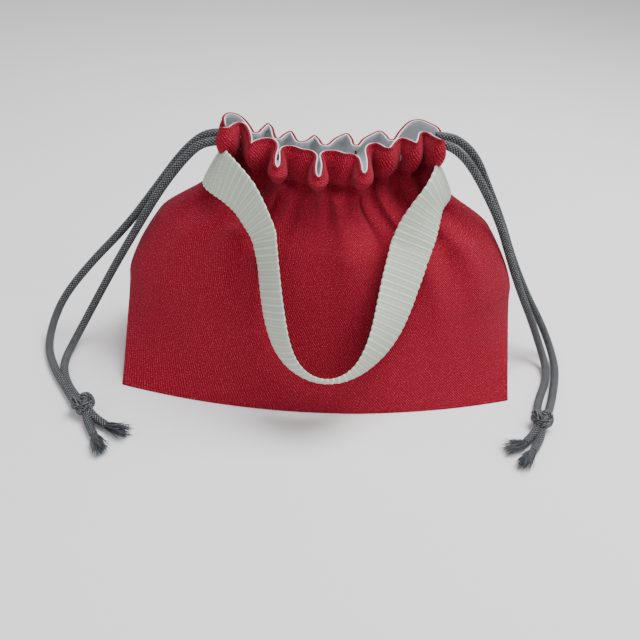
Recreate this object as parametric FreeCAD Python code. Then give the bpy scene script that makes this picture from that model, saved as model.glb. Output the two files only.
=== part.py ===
import FreeCAD, Part
import math
import os

os.makedirs("parts", exist_ok=True)
V = FreeCAD.Vector

# Drawstring knitting bag, millimetres.
# Origin: centre of the flat base, on the surface it stands on.
# +X runs along the front edge to the right, +Y to the back, +Z up.

# ---- driving sizes -------------------------------------------------------
base_width = 235.0          # straight front edge of the base, corner to corner
base_depth = 105.0          # boxed side of the base, corner to corner
front_bow = 18.0            # how far the filled front and back edges bow out
gather_height = 119.0       # height of the stitch line under the tunnel
mouth_length = 120.0        # end to end of the gathered tunnel
mouth_belly = 17.0          # middle of the tunnel from the X axis
mouth_pinch = 5.3           # end of the tunnel from the X axis
rim_mid_height = 138.0      # top of the gathered mouth at its middle
rim_end_height = 147.0      # top of the gathered mouth at its ends

fabric_wall = 1.6           # outer twill with its interfacing
lining_wall = 1.0           # pale lining
lining_gap = 0.3            # lining to outer fabric
stiffener_thickness = 2.4   # board under the base lining
stiffener_margin = 4.0      # board to the walls
plate_clearance = 0.4       # inner base lining to the side linings
tunnel_thickness = 9.0      # gathered tunnel, front face to back face
tunnel_wall = 0.9           # gathered cloth on each side of the cords
tunnel_gap = 0.5            # tunnel to the panel below it

cord_diameter = 5.0         # braided drawstring
cord_lane_pitch = 5.7       # the two cords lie one above the other in the tunnel
cord_run_end_gap = 0.5      # run inside the tunnel to the tunnel's end
knot_diameter = 14.0        # overhand knot of both strands
tuft_end_diameter = 8.0     # frayed end of a tail

strap_width = 25.0          # webbing
strap_thickness = 1.8
strap_gap = 0.8             # sewn tab, shoulder and loop, end to end

# ---- derived sizes -------------------------------------------------------
cord_radius = cord_diameter / 2
corner_apex = base_depth / 2
half_mouth = mouth_length / 2
half_base = base_width / 2
side_flat = 2.0             # half width of the side seam allowance
gathered_half_depth = mouth_belly + tunnel_thickness / 2 - 1.5
floor_stack = fabric_wall + stiffener_thickness
lining_inset = fabric_wall + lining_gap
curve_steps = 14            # points across a panel's edge
tunnel_bottom = gather_height + tunnel_gap
rim_sag = rim_end_height - rim_mid_height
rim_radius = (half_mouth**2 + rim_sag**2) / (2 * rim_sag)
upper_lane_drop = tunnel_wall * 2 + cord_radius + 0.6
lower_lane_drop = upper_lane_drop + cord_lane_pitch


# ---- bag body ------------------------------------------------------------
def half_width(z):
    """Half width at height z: full up to the corner apex, then drawn in to the gathers."""
    if z <= corner_apex:
        return half_base
    rise = min((z - corner_apex) / (gather_height - corner_apex), 1)
    return half_base - (half_base - half_mouth - side_flat) * rise**1.45


def half_depth(z):
    """Half depth at the middle of the front at height z."""
    rise = min(z / gather_height, 1)
    full = base_depth / 2 + front_bow
    return full - (full - gathered_half_depth) * rise**1.3


def side_half_flat(z, inset):
    """Half width of the folded box corner at height z; it narrows to the seam allowance."""
    return max(side_flat, base_depth / 2 * (1 - z / corner_apex) - inset)


def front_y(x, z, inset):
    """Distance of the front panel from the X axis at (x, z), for a panel set in by inset."""
    width = half_width(z) - inset
    depth = half_depth(z) - inset
    flat = side_half_flat(z, inset)
    bulge = 1 - 0.5 * min(z / corner_apex, 1)
    across = min(abs(x) / width, 1)
    return flat + (depth - flat) * (1 - across**2)**bulge


def front_edge(z, inset):
    """Edge of the front panel at height z, from the left side seam to the right one."""
    width = half_width(z) - inset
    flat = side_half_flat(z, inset)
    xs = [-width * math.cos(math.pi * i / curve_steps) for i in range(curve_steps + 1)]
    curve = Part.BSplineCurve()
    curve.interpolate([V(x, -front_y(x, z, inset), z) for x in xs])
    left = Part.makeLine(V(-width, 0, z), V(-width, -flat, z))
    right = Part.makeLine(V(width, -flat, z), V(width, 0, z))
    return [left, curve.toShape(), right]


def heights(bottom, top):
    """Heights of the sections between two levels, with one at the corner apex."""
    lower = [bottom + (corner_apex - bottom) * i / 3 for i in range(4)]
    upper = [corner_apex + (top - corner_apex) * i / 6 for i in range(1, 7)]
    return lower + upper


def above_sag(middle_height):
    """Everything above a line that sags to middle_height, as the rim does."""
    width = 2 * base_depth
    axis_start = V(0, -width / 2, middle_height + rim_radius)
    return Part.makeCylinder(rim_radius, width, axis_start, V(0, 1, 0))


def panel(side, inset, wall, bottom):
    """Front (side -1) or back (side 1) panel, seam to seam, from bottom to the sagging gathers."""
    sections = []
    for z in heights(bottom, gather_height) + [gather_height + rim_sag]:
        outside = front_edge(z, inset)
        inside = front_edge(z, inset + wall)
        right_seam = Part.makeLine(outside[2].Vertexes[1].Point, inside[2].Vertexes[1].Point)
        left_seam = Part.makeLine(inside[0].Vertexes[0].Point, outside[0].Vertexes[0].Point)
        sections.append(Part.Wire(outside + [right_seam] + inside[::-1] + [left_seam]))
    solid = Part.makeLoft(sections, True, True).cut(above_sag(gather_height))
    return solid if side < 0 else solid.mirror(V(0, 0, 0), V(0, 1, 0))


def base_plate(inset, bottom, thickness):
    """Flat plate of the base's outline at its upper face, set in by inset."""
    front = [edge.translated(V(0, 0, -thickness)) for edge in front_edge(bottom + thickness, inset)]
    back = [edge.mirror(V(0, 0, 0), V(0, 1, 0)) for edge in front]
    outline = Part.Wire(Part.sortEdges(front + back)[0])
    return Part.Face(outline).extrude(V(0, 0, thickness))


# ---- drawstring tunnel ---------------------------------------------------
def tunnel_y(x):
    """Middle line of the tunnel: pinched at its ends, bellied in the middle."""
    return mouth_pinch + (mouth_belly - mouth_pinch) * (1 + math.cos(math.pi * x / half_mouth)) / 2


def rim_height(x):
    """Top of the mouth, which sags in the middle."""
    return rim_mid_height + rim_radius - math.sqrt(rim_radius**2 - x**2)


def tunnel_band(side, half_thickness, reach, bottom, top):
    """Band along the tunnel's middle line, between two lines that sag with the rim."""
    steps = 16
    xs = [-reach + 2 * reach * i / steps for i in range(steps + 1)]
    low = tunnel_bottom - 1
    near = Part.BSplineCurve()
    near.interpolate([V(x, side * (tunnel_y(x) - half_thickness), low) for x in xs])
    far = Part.BSplineCurve()
    far.interpolate([V(x, side * (tunnel_y(x) + half_thickness), low) for x in reversed(xs)])
    joins = [Part.makeLine(near.EndPoint, far.StartPoint), Part.makeLine(far.EndPoint, near.StartPoint)]
    face = Part.Face(Part.Wire([near.toShape(), joins[0], far.toShape(), joins[1]]))
    block = face.extrude(V(0, 0, rim_end_height + 5 - low))
    return block.common(above_sag(bottom)).cut(above_sag(top))


def casing(side):
    """Gathered tunnel of the front (side -1) or back (side 1), open at both ends."""
    solid = tunnel_band(side, tunnel_thickness / 2, half_mouth, tunnel_bottom, rim_mid_height)
    inner_half = tunnel_thickness / 2 - tunnel_wall
    bottom = tunnel_bottom + tunnel_wall
    top = rim_mid_height - 2 * tunnel_wall
    return solid.cut(tunnel_band(side, inner_half, half_mouth + 1, bottom, top))


# ---- cords ---------------------------------------------------------------
def rounded_path(points, name):
    """Straight runs joined by tangent arcs, each arc as large as its two runs allow."""
    edges = []
    length = 0.0
    smallest = None
    last = points[0]
    for before, corner, after in zip(points, points[1:], points[2:]):
        to_corner = (corner - before).normalize()
        away = (after - corner).normalize()
        half_turn = to_corner.getAngle(away) / 2
        setback = 0.45 * min((corner - before).Length, (after - corner).Length)
        radius = setback / math.tan(half_turn)
        start = corner - to_corner * setback
        end = corner + away * setback
        inward = (away - to_corner).normalize()
        middle = corner + inward * (radius / math.cos(half_turn) - radius)
        edges.append(Part.makeLine(last, start))
        edges.append(Part.Arc(start, middle, end).toShape())
        length += (start - last).Length + 2 * half_turn * radius
        smallest = radius if smallest is None else min(smallest, radius)
        last = end
    edges.append(Part.makeLine(last, points[-1]))
    length += (points[-1] - last).Length
    print(name, "length", round(length, 1), "smallest radius", round(smallest, 1))
    return Part.Wire(edges), length


def tube(points, radius, name):
    """Round cord along a route."""
    path, length = rounded_path([V(*p) for p in points], name)
    start = V(*points[0])
    ring = Part.Wire(Part.makeCircle(radius, start, V(*points[1]) - start))
    solid = path.makePipeShell([ring], True, False)
    print(name, "volume ratio", round(solid.Volume / (math.pi * radius**2 * length), 4))
    return solid


def tunnel_cord(side, drop, name):
    """Run of one drawstring through a tunnel, end to end."""
    reach = half_mouth - cord_run_end_gap
    runs = 6
    xs = [-reach + 2 * reach * i / runs for i in range(runs + 1)]
    route = [(x, side * tunnel_y(x), rim_height(x) - drop) for x in xs]
    return tube(route, cord_radius, name)


# Routes of the four free strands, from just outside the tunnel's end to the knot.
left_inner_route = [
    (-62, -5.7, 137), (-72, -5.8, 134.8), (-82, -6, 124.5), (-95, -6.5, 107), (-109, -7, 84),
    (-125, -6.5, 57), (-139, -6.5, 32), (-149, -10.5, 14), (-155, -22, 4), (-156, -36, 2.7),
    (-152, -50, 2.7), (-145, -62, 2.7), (-136.5, -72, 3.4),
]
left_outer_route = [
    (-62, 5.7, 137.5), (-72, 5.5, 135.5), (-84, 4.8, 124), (-99, 4, 103.5), (-118, 3.4, 78),
    (-144, 2.2, 50), (-163, 0, 26), (-171.5, -7, 10), (-171.5, -22, 3), (-166, -38, 2.7),
    (-158, -53, 2.7), (-148.5, -66, 2.7), (-139.5, -77.5, 3.4),
]
right_outer_route = [
    (62, 5.7, 142.5), (71.5, 5.5, 141), (83, 5, 131.8), (93, 4.4, 114.5), (106, 4, 92),
    (117, 3.4, 69), (132, 2, 43), (146.5, -1, 22), (154, -9, 8), (154.5, -24, 2.8),
    (148.5, -42, 2.7), (142, -58, 2.7), (135.5, -71, 3.4),
]
right_inner_route = [
    (62.5, -5.7, 142), (70.5, -5.8, 138), (78.5, -6, 130.5), (88.5, -6.4, 117), (101.5, -6.8, 97),
    (112, -6.4, 75), (124, -6.4, 51), (136, -7, 30), (144.5, -11.5, 13), (148, -23, 4),
    (144.5, -37, 2.7), (137, -51, 2.7), (129.5, -65, 3.4),
]

left_knot_centre = V(-133, -78, knot_diameter / 2)
right_knot_centre = V(130.5, -76, knot_diameter / 2)

# Each tail: from the knot to where its braid ends, then to the end of its frayed fibres.
tails = {
    "left_tail_one": ((-128, -82.5, 5), (-122, -87, 3.2), (-116, -91, 2.7), (-104, -96, 4.2)),
    "left_tail_two": ((-130, -84, 4.5), (-126, -92, 3.2), (-121.5, -99, 2.7), (-115, -110, 4.2)),
    "right_tail_one": ((126.5, -82, 5), (121.5, -87.5, 3.2), (117, -92, 2.7), (105, -94.5, 4.2)),
    "right_tail_two": ((129.5, -83, 4.5), (125.5, -91, 3.2), (120, -98.5, 2.7), (111, -108.5, 4.2)),
}


def knot(centre):
    return Part.makeSphere(knot_diameter / 2, centre)


def tail(points, name):
    return tube(points[:3], cord_radius, name)


def tuft(points):
    """Frayed fibres spread from the end of the braid."""
    start = V(*points[2])
    end = V(*points[3])
    return Part.makeCone(cord_radius, tuft_end_diameter / 2, (end - start).Length, start, end - start)


# ---- webbing strap -------------------------------------------------------
# Stations of the webbing: its centre, then the direction of its width.
left_shoulder_stations = [
    ((-67.5, -12.6, 120), (0.47, 0.05, 0.88)), ((-58.5, -21, 119.5), (0.38, -0.10, 0.92)),
    ((-48, -28.5, 115), (0.42, -0.28, 0.86)), ((-40.5, -35.5, 108.8), (0.47, -0.45, 0.76)),
    ((-37, -39.6, 104.8), (0.48, -0.55, 0.68)),
]
loop_stations = [
    ((-34.5, -41.5, 101), (0.48, -0.56, 0.67)), ((-31.5, -49.5, 87.5), (0.46, -0.75, 0.48)),
    ((-29.5, -57, 74.5), (0.48, -0.76, 0.44)), ((-27, -63.5, 62), (0.48, -0.74, 0.48)),
    ((-23.5, -69.5, 50), (0.42, -0.73, 0.54)), ((-18, -74.3, 40.5), (0.32, -0.72, 0.61)),
    ((-9, -77.5, 33.5), (0.18, -0.73, 0.66)), ((2, -78.5, 30.5), (0.05, -0.71, 0.70)),
    ((12.5, -77.3, 32), (-0.11, -0.68, 0.73)), ((22, -74.3, 37.5), (-0.30, -0.64, 0.71)),
    ((29.5, -69, 46.5), (-0.50, -0.55, 0.67)), ((35, -62, 56.5), (-0.68, -0.43, 0.59)),
    ((38.5, -54.5, 66.5), (-0.80, -0.32, 0.50)), ((41.5, -46.5, 76.5), (-0.87, -0.24, 0.43)),
    ((45, -38, 87), (-0.91, -0.15, 0.38)), ((46.3, -34.6, 91), (-0.92, -0.11, 0.37)),
]
right_shoulder_stations = [
    ((46.9, -33.6, 93.2), (-0.92, -0.10, 0.37)), ((50.5, -28.5, 101), (-0.90, -0.05, 0.43)),
    ((55.5, -23, 109.5), (-0.75, -0.05, 0.66)), ((61.5, -16.5, 117), (-0.58, 0, 0.81)),
    ((67.5, -12, 120), (-0.47, 0.05, 0.88)),
]
tab_length = 16.0            # sewn end, front to back
tab_outset = 8.7             # middle of the sewn end, out from the end of the tunnel
tab_rise = 1.0               # middle of the sewn end, above the gathers
tab_lean = 30.0              # degrees that the sewn end leans in with the side seam


def ribbon(stations):
    """Webbing with a rectangular section at every station."""
    centres = [V(*centre) for centre, width in stations]
    sections = []
    for i, (centre, width) in enumerate(stations):
        ahead = centres[min(i + 1, len(centres) - 1)] - centres[max(i - 1, 0)]
        across = V(*width)
        along = ahead.normalize()
        across = (across - along * across.dot(along)).normalize()
        normal = along.cross(across).normalize()
        middle = V(*centre)
        half_across = across * (strap_width / 2)
        half_normal = normal * (strap_thickness / 2)
        corners = [middle - half_across - half_normal, middle + half_across - half_normal]
        corners += [middle + half_across + half_normal, middle - half_across + half_normal]
        sections.append(Part.makePolygon(corners + [corners[0]]))
    return Part.makeLoft(sections, True, True)


def strap_tab(side):
    """End of the webbing, sewn on the side seam just under the tunnel's end."""
    corner = V(-strap_thickness / 2, -9 + strap_gap, -strap_width / 2)
    block = Part.makeBox(strap_thickness, tab_length, strap_width, corner)
    block.rotate(V(0, 0, 0), V(0, 1, 0), tab_lean)
    block.translate(V(-half_mouth - tab_outset, 0, gather_height + tab_rise))
    return block if side < 0 else block.mirror(V(0, 0, 0), V(1, 0, 0))


# ---- every piece ---------------------------------------------------------
pieces = {
    "outer_front": panel(-1, 0, fabric_wall, fabric_wall),
    "outer_back": panel(1, 0, fabric_wall, fabric_wall),
    "outer_base": base_plate(0, 0, fabric_wall),
    "base_stiffener": base_plate(fabric_wall + stiffener_margin, fabric_wall, stiffener_thickness),
    "lining_front": panel(-1, lining_inset, lining_wall, floor_stack),
    "lining_back": panel(1, lining_inset, lining_wall, floor_stack),
    "lining_base": base_plate(lining_inset + lining_wall + plate_clearance, floor_stack, lining_wall),
    "strap_tab_left": strap_tab(-1),
    "strap_tab_right": strap_tab(1),
    "casing_front": casing(-1),
    "casing_back": casing(1),
    "cord_run_front_left": tunnel_cord(-1, lower_lane_drop, "cord_run_front_left"),
    "cord_run_front_right": tunnel_cord(-1, upper_lane_drop, "cord_run_front_right"),
    "cord_run_back_left": tunnel_cord(1, lower_lane_drop, "cord_run_back_left"),
    "cord_run_back_right": tunnel_cord(1, upper_lane_drop, "cord_run_back_right"),
    "strap_shoulder_left": ribbon(left_shoulder_stations),
    "strap_shoulder_right": ribbon(right_shoulder_stations),
    "handle_strap": ribbon(loop_stations),
    "left_strand_inner": tube(left_inner_route, cord_radius, "left_strand_inner"),
    "left_strand_outer": tube(left_outer_route, cord_radius, "left_strand_outer"),
    "right_strand_inner": tube(right_inner_route, cord_radius, "right_strand_inner"),
    "right_strand_outer": tube(right_outer_route, cord_radius, "right_strand_outer"),
    "left_knot": knot(left_knot_centre),
    "right_knot": knot(right_knot_centre),
}
for tail_name, tail_points in tails.items():
    pieces[tail_name] = tail(tail_points, tail_name)
    pieces[tail_name.replace("tail", "tuft")] = tuft(tail_points)

for node, shape in pieces.items():
    shape.exportStep("parts/" + node + ".step")
    box = shape.BoundBox
    size = [round(v, 1) for v in (box.XMin, box.YMin, box.ZMin, box.XMax, box.YMax, box.ZMax)]
    print(node, "valid", shape.isValid(), "solids", len(shape.Solids), "volume", round(shape.Volume), size)
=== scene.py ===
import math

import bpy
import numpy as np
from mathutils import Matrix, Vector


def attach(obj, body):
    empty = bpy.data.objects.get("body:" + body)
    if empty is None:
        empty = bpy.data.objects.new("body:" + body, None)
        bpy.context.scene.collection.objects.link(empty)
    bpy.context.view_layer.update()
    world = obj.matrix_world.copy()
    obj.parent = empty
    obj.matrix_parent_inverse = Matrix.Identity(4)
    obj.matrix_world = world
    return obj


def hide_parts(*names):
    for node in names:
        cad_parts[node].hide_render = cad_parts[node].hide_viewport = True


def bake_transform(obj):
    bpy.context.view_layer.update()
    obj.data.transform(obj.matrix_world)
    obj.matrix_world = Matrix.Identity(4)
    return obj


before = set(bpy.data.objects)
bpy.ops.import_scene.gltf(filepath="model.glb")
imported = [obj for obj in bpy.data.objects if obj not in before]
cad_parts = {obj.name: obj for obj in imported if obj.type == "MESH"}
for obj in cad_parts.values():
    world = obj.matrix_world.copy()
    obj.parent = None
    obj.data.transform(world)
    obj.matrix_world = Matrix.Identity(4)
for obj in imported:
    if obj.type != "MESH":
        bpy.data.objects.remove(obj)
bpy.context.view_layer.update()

# %% [markdown]
# # Drawstring knitting bag
# The bag is sewn from two twill panels over a boxed base, with a pale lining.
# Its mouth is drawn up by two braided cords that run through a gathered
# tunnel, and one webbing strap hangs over the front. Every size below is in
# millimetres, as a pattern cutter would write it, and becomes metres only
# when a mesh is filled.

MM = 0.001

# %% [markdown]
# ## Camera
# The bag is seen from a little left of its middle and from above, at about
# 36 degrees. The camera rolls by a few degrees, so the base's front edge runs
# slightly uphill to the right. A camera object's matrix holds its right, up
# and back directions as columns, so three directions and a place are enough.

# %% Camera
camera_place = Vector((-0.0169, -0.3636, 0.2809))
camera_right = Vector((0.9982, -0.0053, 0.0602))
camera_up = Vector((-0.0455, 0.5897, 0.8064))
camera_back = camera_right.cross(camera_up)
camera_data = bpy.data.cameras.new("camera")
camera_data.sensor_width = 36.0
camera_data.lens = 38.59875
camera_data.clip_start = 0.01
camera = bpy.data.objects.new("camera", camera_data)
bpy.context.scene.collection.objects.link(camera)
rows = zip(camera_right, camera_up, camera_back, camera_place)
camera.matrix_world = Matrix([list(row) for row in rows] + [[0, 0, 0, 1]])
bpy.context.scene.camera = camera

# %% [markdown]
# ## Ways to make a surface
# Cloth, webbing and cord are all surfaces over two parameters, so one way of
# filling a mesh serves them all: a grid of points, a four-cornered face
# between every four neighbours, and one cloth coordinate per corner, which
# tells a material where it is on the flat cloth.

# %% Grids of faces
def grid_faces(rows, columns):
    """Corner numbers of each face: a point, its right neighbour, and the two above them."""
    number = np.arange(rows * columns).reshape(rows, columns)
    corners = [number[:-1, :-1], number[:-1, 1:], number[1:, 1:], number[1:, :-1]]
    return np.stack(corners, -1).reshape(-1, 4)


def many_tube_faces(tubes, steps, sides):
    """Faces of many small tubes at once: each ring's corners joined to the same corners of the next ring."""
    number = np.arange(tubes * steps * sides).reshape(tubes, steps, sides)
    near, far = number[:, :-1], number[:, 1:]
    return np.stack([near, np.roll(near, -1, 2), np.roll(far, -1, 2), far], -1).reshape(-1, 4)


def fill_mesh(name, points, faces, corner_cloth):
    """A smooth-shaded object from points in millimetres, faces, and cloth coordinates per face corner."""
    mesh = bpy.data.meshes.new(name)
    mesh.vertices.add(len(points))
    mesh.vertices.foreach_set("co", (points * MM).astype(np.float32).ravel())
    mesh.loops.add(faces.size)
    mesh.loops.foreach_set("vertex_index", faces.astype(np.int32).ravel())
    mesh.polygons.add(len(faces))
    mesh.polygons.foreach_set("loop_start", np.arange(0, faces.size, 4, dtype=np.int32))
    mesh.polygons.foreach_set("use_smooth", np.ones(len(faces), dtype=bool))
    layer = mesh.uv_layers.new(name="cloth")
    layer.data.foreach_set("uv", (corner_cloth * MM).astype(np.float32).ravel())
    mesh.update(calc_edges=True)
    piece = bpy.data.objects.new(name, mesh)
    bpy.context.scene.collection.objects.link(piece)
    return piece


def carry_relief(piece, relief):
    """Stores a height from 0 to 1 at every point of the piece, for its finish to read."""
    mark = piece.data.attributes.new("relief", "FLOAT", "POINT")
    mark.data.foreach_set("value", relief.astype(np.float32).ravel())


def on_cloth(across, up):
    """Cloth coordinates of a grid, from one row of distances across and one column of distances up."""
    return np.stack(np.broadcast_arrays(across, up), -1)


# %% Closed sheets of cloth
def unit(vectors):
    """Each vector divided by its own length."""
    return vectors / np.maximum(np.linalg.norm(vectors, axis=-1, keepdims=True), 1e-9)


def outward(surface):
    """Normal of a grid: the step to the right neighbour crossed with the step to the upper one."""
    across = np.gradient(surface, axis=1)
    up = np.gradient(surface, axis=0)
    return unit(np.cross(across, up))


def sheet_faces(rows, columns):
    """Faces of a closed sheet, and its edge points: a grid, the grid behind it turned over, and a band."""
    total = rows * columns
    front = grid_faces(rows, columns)
    number = np.arange(total).reshape(rows, columns)
    edge = np.concatenate([number[0, :-1], number[:-1, -1], number[-1, :0:-1], number[:0:-1, 0]])
    following = np.roll(edge, -1)
    band = np.stack([following, edge, edge + total, following + total], 1)
    return np.concatenate([front, front[:, ::-1] + total, band]), edge


def cloth_shell(name, surface, cloth, thickness):
    """Closed sheet: the surface, a copy set inwards by the thickness, and a band that joins their edges."""
    rows, columns = surface.shape[:2]
    total = rows * columns
    inside = surface - outward(surface) * thickness
    points = np.concatenate([surface.reshape(-1, 3), inside.reshape(-1, 3)])
    faces, edge = sheet_faces(rows, columns)
    flat = np.tile(cloth.reshape(-1, 2), (2, 1))
    piece = fill_mesh(name, points, faces, flat[faces.ravel()])
    on_edge = np.zeros(2 * total, dtype=bool)
    on_edge[np.concatenate([edge, edge + total])] = True
    ends = np.empty(len(piece.data.edges) * 2, dtype=np.int32)
    piece.data.edges.foreach_get("vertices", ends)
    ends = ends.reshape(-1, 2)
    same_sheet = (ends[:, 0] < total) == (ends[:, 1] < total)
    sharp = on_edge[ends[:, 0]] & on_edge[ends[:, 1]] & same_sheet
    mark = piece.data.attributes.new("sharp_edge", "BOOLEAN", "EDGE")
    mark.data.foreach_set("value", sharp)
    return piece


# %% Lines through a maker's points
def walked_to(points):
    """Distance along the line to each of its points: the steps so far, added up."""
    return np.concatenate([[0], np.cumsum(np.linalg.norm(np.diff(points, axis=0), axis=1))])


def even_line(points, count):
    """The line through the points, walked at equal steps of its own length."""
    points = np.asarray(points, float)
    walked = walked_to(points)
    steps = np.linspace(0, walked[-1], count)
    return np.stack([np.interp(steps, walked, column) for column in points.T], 1)


def flowing_line(points, count):
    """A smooth line through every point, which it passes along the chord of that point's neighbours."""
    points = np.asarray(points, float)
    place = np.linspace(0, len(points) - 1, count)
    index = np.minimum(place.astype(int), len(points) - 2)
    part = (place - index)[:, None]
    before, near, far, after = (points[np.clip(index + step, 0, len(points) - 1)] for step in (-1, 0, 1, 2))
    line = 2 * near + (far - before) * part + (2 * before - 5 * near + 4 * far - after) * part**2
    return 0.5 * (line + (3 * near - before - 3 * far + after) * part**3)


def softened(values, spread):
    """A running average weighted by a bell curve; past each end the line goes on, turned about that end."""
    reach = int(3 * spread) + 1
    before = 2 * values[:1] - values[reach:0:-1]
    after = 2 * values[-1:] - values[-2:-reach - 2:-1]
    long = np.concatenate([before, values, after])
    bell = np.exp(-0.5 * (np.arange(-reach, reach + 1) / spread) ** 2)
    bell = bell / bell.sum()
    return np.stack([np.convolve(column, bell, "valid") for column in long.T], 1)


def eased(value):
    """Rises from 0 to 1 with no kink at either end: three squares less two cubes."""
    value = np.clip(value, 0, 1)
    return value * value * (3 - 2 * value)


# %% [markdown]
# ## The four free strands
# Each drawstring leaves its end of the tunnel as two strands. They run down
# the bag's side, meet the floor and turn forward to a shared knot. A strand
# is a soft round braid of a known length, so its line is a NURBS curve with
# the route's points as its control points, and the braid is a tube that
# follows the points read from that curve.

# %% Routes of the strands, in metres
left_inner_route = [
    (-0.0575, -0.0052, 0.1370), (-0.0620, -0.0055, 0.1372), (-0.0720, -0.0058, 0.1348),
    (-0.0820, -0.0060, 0.1245), (-0.0950, -0.0065, 0.1070), (-0.1090, -0.0070, 0.0840),
    (-0.1250, -0.0065, 0.0570), (-0.1390, -0.0065, 0.0320), (-0.1490, -0.0105, 0.0140),
    (-0.1550, -0.0220, 0.0040), (-0.1560, -0.0360, 0.0027), (-0.1520, -0.0500, 0.0027),
    (-0.1450, -0.0620, 0.0027), (-0.1365, -0.0720, 0.0034), (-0.1335, -0.0765, 0.0060),
]
left_outer_route = [
    (-0.0575, 0.0052, 0.1375), (-0.0620, 0.0055, 0.1377), (-0.0720, 0.0055, 0.1355),
    (-0.0840, 0.0048, 0.1240), (-0.0990, 0.0040, 0.1035), (-0.1180, 0.0034, 0.0780),
    (-0.1440, 0.0022, 0.0500), (-0.1630, 0.0000, 0.0260), (-0.1705, -0.0070, 0.0100),
    (-0.1700, -0.0220, 0.0030), (-0.1635, -0.0370, 0.0027), (-0.1550, -0.0510, 0.0027),
    (-0.1455, -0.0640, 0.0027), (-0.1380, -0.0755, 0.0034), (-0.1340, -0.0790, 0.0055),
]
right_outer_route = [
    (0.0575, 0.0052, 0.1425), (0.0620, 0.0055, 0.1427), (0.0715, 0.0055, 0.1410),
    (0.0830, 0.0050, 0.1318), (0.0930, 0.0044, 0.1145), (0.1060, 0.0040, 0.0920),
    (0.1170, 0.0034, 0.0690), (0.1320, 0.0020, 0.0430), (0.1465, -0.0010, 0.0220),
    (0.1540, -0.0090, 0.0080), (0.1545, -0.0240, 0.0028), (0.1485, -0.0420, 0.0027),
    (0.1420, -0.0580, 0.0027), (0.1355, -0.0710, 0.0034), (0.1320, -0.0760, 0.0060),
]
right_inner_route = [
    (0.0580, -0.0052, 0.1421), (0.0625, -0.0055, 0.1421), (0.0705, -0.0058, 0.1380),
    (0.0785, -0.0060, 0.1305), (0.0885, -0.0064, 0.1170), (0.1015, -0.0068, 0.0970),
    (0.1120, -0.0064, 0.0750), (0.1240, -0.0064, 0.0510), (0.1360, -0.0070, 0.0300),
    (0.1445, -0.0115, 0.0130), (0.1480, -0.0230, 0.0040), (0.1445, -0.0370, 0.0027),
    (0.1370, -0.0510, 0.0027), (0.1310, -0.0650, 0.0034), (0.1295, -0.0745, 0.0060),
]


# %% A smooth line along a route
def line_along(route):
    """Points, in millimetres, of the NURBS curve of order 3 that has the route as its control points."""
    curve = bpy.data.curves.new("route", "CURVE")
    curve.dimensions = "3D"
    curve.resolution_u = 24
    spline = curve.splines.new("NURBS")
    spline.points.add(len(route) - 1)
    spline.points.foreach_set("co", np.array([(*point, 1.0) for point in route]).ravel())
    spline.order_u = 3
    spline.use_endpoint_u = True
    holder = bpy.data.objects.new("route", curve)
    line = bpy.data.meshes.new_from_object(holder)
    points = np.empty(len(line.vertices) * 3)
    line.vertices.foreach_get("co", points)
    bpy.data.objects.remove(holder)
    bpy.data.curves.remove(curve)
    bpy.data.meshes.remove(line)
    return points.reshape(-1, 3) / MM


def length_of(points):
    """Sum of the steps from each point to the next."""
    return float(np.linalg.norm(np.diff(points, axis=0), axis=1).sum())


# %% The braid
CORD_RADIUS = 2.5
BRAID_STRANDS = 8
BRAID_LAY = 15.0


def braid_relief(around, along):
    """Height of a round braid: two sets of strands wind opposite ways and go over and under each other."""
    one = around * BRAID_STRANDS + along / BRAID_LAY * BRAID_STRANDS
    other = around * BRAID_STRANDS - along / BRAID_LAY * BRAID_STRANDS
    one_on_top = (np.floor(one) + np.floor(other)) % 2 < 1
    ridge_one = np.abs(np.sin(np.pi * other)) ** 0.7
    ridge_other = np.abs(np.sin(np.pi * one)) ** 0.7
    return np.where(one_on_top, ridge_one, ridge_other) * (0.45 + 0.55 * np.minimum(ridge_one, ridge_other))


def carried_frame(line):
    """At each point: the way ahead, a side and an up that turn as little as the line lets them."""
    ahead = unit(np.gradient(line, axis=0))
    world_up = np.array([0.0, 0.0, 1.0]) + 0.35 * np.array([0.0, 1.0, 0.0])
    side = unit(np.cross(ahead, world_up))
    side = unit(softened(side, 6.0))
    side = unit(side - ahead * (side * ahead).sum(1, keepdims=True))
    return ahead, side, np.cross(side, ahead)


def braided_tube(name, line, radius, step=0.45, sides=32):
    """Circle carried along the line, its radius raised by the relief, closed to a point at both ends."""
    rows = max(int(length_of(line) / step), 8)
    line = even_line(line, rows)
    along = np.linspace(0, length_of(line), rows)[:, None]
    around = np.arange(sides)[None, :] / sides
    relief = braid_relief(around, along)
    ahead, side, up = carried_frame(line)
    end_share = np.clip(np.minimum(along, along[-1] - along) / (0.8 * radius), 0, 1)
    cap = np.sqrt(np.clip(1 - (1 - end_share) ** 2, 0, 1))
    reach = radius * (0.90 + 0.10 * relief) * cap
    turn = 2 * np.pi * around
    ring = np.cos(turn)[..., None] * side[:, None, :] + np.sin(turn)[..., None] * up[:, None, :]
    points = (line[:, None, :] + reach[..., None] * ring).reshape(-1, 3)
    open_faces = grid_faces(rows, sides + 1)
    row, column = np.divmod(open_faces, sides + 1)
    faces = (row * sides + column % sides)[:, ::-1]
    flat = on_cloth(column / sides * 2 * np.pi * radius, row * step)[:, ::-1]
    piece = fill_mesh(name, points, faces, flat.reshape(-1, 2))
    carry_relief(piece, relief)
    return piece


strand_routes = {
    "left_strand_inner": left_inner_route,
    "left_strand_outer": left_outer_route,
    "right_strand_outer": right_outer_route,
    "right_strand_inner": right_inner_route,
}
strands = {}
strand_lines = {}
for name, route in strand_routes.items():
    strand_lines[name] = line_along(route)
    strands[name] = braided_tube("braid_" + name, strand_lines[name], CORD_RADIUS)
    print(name, "length in mm", round(length_of(strand_lines[name]), 1))

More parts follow.
